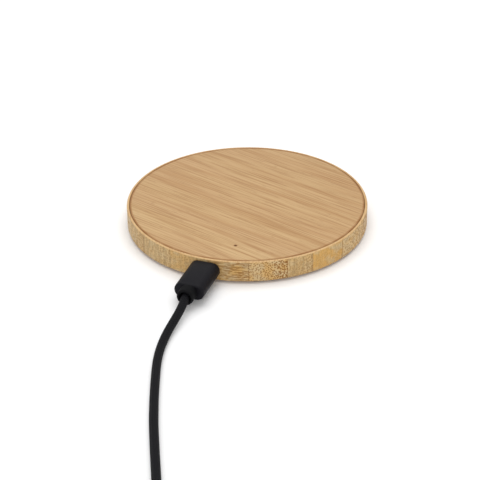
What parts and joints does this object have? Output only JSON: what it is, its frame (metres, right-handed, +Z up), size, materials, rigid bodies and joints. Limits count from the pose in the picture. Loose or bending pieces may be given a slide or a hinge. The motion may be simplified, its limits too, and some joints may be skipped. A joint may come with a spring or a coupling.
{
  "type": "wireless charging pad",
  "caption": "Round low bamboo wireless charging pad with an inlaid lid, and a detachable black USB cable with its spare length coiled and tied",
  "frame": {"origin": "centre of the pad's underside, on the surface its feet stand on", "axes": "+Z up through the pad; the charging socket faces -Y and the cable runs off that way"},
  "size_m": [0.1274, 0.2715, 0.009],
  "materials": {
    "bamboo": "sealed matte bamboo, laminated strips",
    "bamboo_top": "sealed matte bamboo, long grain",
    "black_plastic": "fine matte black",
    "rubber": "soft matte black",
    "dark_steel": "black zinc",
    "cord_jacket": "close textile braid",
    "strap": "woven hook and loop",
    "steel": "bright nickel plate",
    "board": "green solder mask",
    "ferrite": "matte dark grey",
    "copper": "lacquered litz wire",
    "tape": "double-sided tape",
    "chip_black": "moulded black",
    "ceramic": "fired tan",
    "white_plastic": "white moulding",
    "clear_plastic": "clear acrylic",
    "gold": "gold flash"
  },
  "bodies": {
    "pad": {"bamboo_housing": "bamboo", "bamboo_lid": "bamboo_top", "base_cover": "black_plastic", "rubber_foot_1": "rubber", "rubber_foot_2": "rubber", "rubber_foot_3": "rubber", "rubber_foot_4": "rubber", "case_screw_1": "dark_steel", "case_screw_2": "dark_steel", "case_screw_3": "dark_steel", "case_screw_4": "dark_steel", "usb_socket_shell": "steel", "clock_crystal": "steel", "circuit_board": "board", "ferrite_shield": "ferrite", "input_inductor": "ferrite", "charging_coil": "copper", "ferrite_tape": "tape", "controller_chip": "chip_black", "bridge_chip_1": "chip_black", "bridge_chip_2": "chip_black", "input_capacitor": "chip_black", "sense_resistor": "chip_black", "usb_socket_tongue": "chip_black", "resonant_capacitor_1": "ceramic", "resonant_capacitor_2": "ceramic", "resonant_capacitor_3": "ceramic", "coil_thermistor": "white_plastic", "status_light": "white_plastic", "light_pipe": "clear_plastic"},
    "cable": {"usb_c_plug_shell": "steel", "usb_c_plug_insert": "chip_black", "usb_c_plug_body": "black_plastic", "usb_c_strain_relief": "rubber", "cord_run": "cord_jacket", "cord_coil": "cord_jacket", "cord_tail": "cord_jacket", "coil_tie": "strap", "usb_a_strain_relief": "rubber", "usb_a_plug_body": "black_plastic", "usb_a_plug_shell": "steel", "usb_a_insulator": "white_plastic", "usb_a_contact_1": "gold", "usb_a_contact_2": "gold", "usb_a_contact_3": "gold", "usb_a_contact_4": "gold"}
  },
  "joints": [
    {"name": "usb_plug_pull", "type": "slide", "parent": "pad", "child": "cable", "axis": [0, -1, 0], "range_m": [0, 0.012]}
  ]
}
